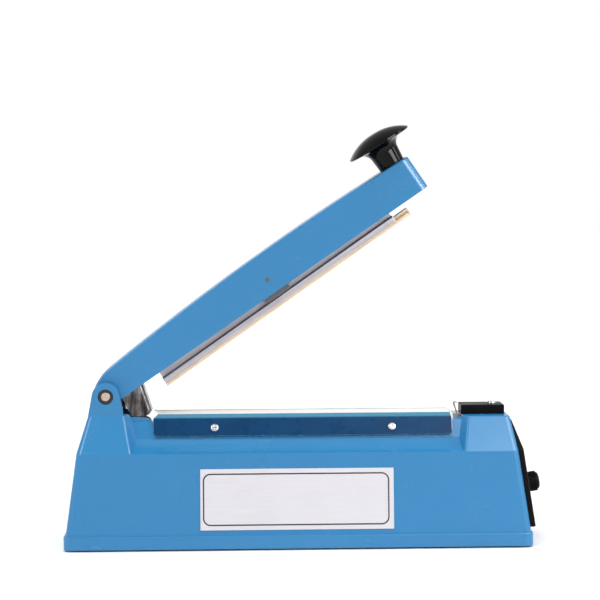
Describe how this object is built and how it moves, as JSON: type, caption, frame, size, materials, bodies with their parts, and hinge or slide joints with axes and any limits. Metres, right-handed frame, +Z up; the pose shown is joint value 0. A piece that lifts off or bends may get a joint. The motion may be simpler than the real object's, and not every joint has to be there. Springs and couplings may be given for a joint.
{
  "type": "hand impulse sealer",
  "caption": "Tabletop hand impulse sealer: a sprung press arm with a rocking silicone-faced bar closes onto a heated sealing platform.",
  "frame": {"origin": "middle of the bounding box at its bottom, on the surface the feet stand on", "axes": "+Z up. +X along the length, from the hinge end to the timer end. The front with the label plate faces -Y."},
  "size_m": [0.3311, 0.0803, 0.2891],
  "materials": {
    "blue_plastic": "satin moulded plastic",
    "black_plastic": "fine-grained moulded plastic",
    "dark_blue_metal": "dark blue painted sheet",
    "bright_steel": "zinc-plated steel",
    "black_steel": "black oxide",
    "zinc_plate": "zinc-plated sheet",
    "spring_steel": "drawn wire",
    "core_steel": "varnished laminations",
    "winding_tape": "varnished tape",
    "black_rubber": "moulded rubber",
    "bar_aluminium": "extruded, unpolished",
    "tan_silicone": "moulded silicone",
    "insulating_strip": "glass-fibre laminate",
    "heater_band": "rolled resistance band",
    "coated_fabric": "coated glass cloth, slight sheen",
    "white_ceramic": "smooth white insulator",
    "lamp_lens": "smooth lens",
    "circuit_board": "solder-masked board",
    "bare_label": "bare satin label plate"
  },
  "bodies": {
    "base": {"housing": "blue_plastic", "base_plate": "zinc_plate", "rubber_feet": "black_rubber", "base_screws": "bright_steel", "hinge_pin": "bright_steel", "pin_retainers": "black_steel", "platform_strip": "insulating_strip", "heating_element": "heater_band", "coated_sheet": "coated_fabric", "front_clamp_plate": "dark_blue_metal", "rear_clamp_plate": "dark_blue_metal", "clamp_screws": "bright_steel", "terminal_cover": "black_plastic", "terminal_cover_screw": "bright_steel", "timer_end_terminal": "bright_steel", "terminal_tab": "bright_steel", "hinge_end_terminal": "white_ceramic", "end_panel": "black_plastic", "indicator_lamps": "lamp_lens", "potentiometer": "bright_steel", "timer_board": "circuit_board", "label_plate": "bare_label", "cord_gland": "black_plastic", "gland_nut": "black_plastic", "transformer_core": "core_steel", "transformer_winding": "winding_tape", "transformer_foot": "zinc_plate", "transformer_screws": "bright_steel", "mechanism_stand": "zinc_plate", "return_spring": "spring_steel", "microswitch": "black_plastic"},
    "arm": {"press_arm": "blue_plastic", "tail_bracket": "zinc_plate", "bracket_rivet": "bright_steel", "handle_knob": "black_plastic", "knob_bolt": "bright_steel", "rocker_pin": "bright_steel"},
    "seal_bar": {"seal_bar_holder": "bar_aluminium", "silicone_strip": "tan_silicone", "rocker_block": "black_plastic"},
    "timer_knob_body": {"timer_knob": "black_plastic"},
    "switch_lever_body": {"switch_lever": "bright_steel"}
  },
  "joints": [
    {"name": "arm_hinge", "type": "hinge", "parent": "base", "child": "arm", "pos_m": [-0.1367, 0, 0.1035], "axis": [0, -1, 0], "range_deg": [-32.35, 0], "stiffness_Nm_per_rad": 0.3, "springref_deg": 85.94, "deforming": ["return_spring"]},
    {"name": "seal_bar_rock", "type": "hinge", "parent": "arm", "child": "seal_bar", "pos_m": [-0.02504, 0, 0.18291], "axis": [0, -1, 0], "range_deg": [-3, 0.4]},
    {"name": "timer_knob_turn", "type": "hinge", "parent": "base", "child": "timer_knob_body", "pos_m": [0.15078, 0, 0.0378], "axis": [0.9894, 0, 0.1452], "range_deg": [-140, 140]},
    {"name": "switch_press", "type": "hinge", "parent": "base", "child": "switch_lever_body", "pos_m": [-0.1192, 0.0092, 0.0724], "axis": [0, -1, 0], "range_deg": [0, 3.5], "stiffness_Nm_per_rad": 0.02, "springref_deg": -11.46}
  ],
  "couplings": [
    {"joint": "seal_bar_rock", "follows": "arm_hinge", "ratio": 0.081917}
  ]
}
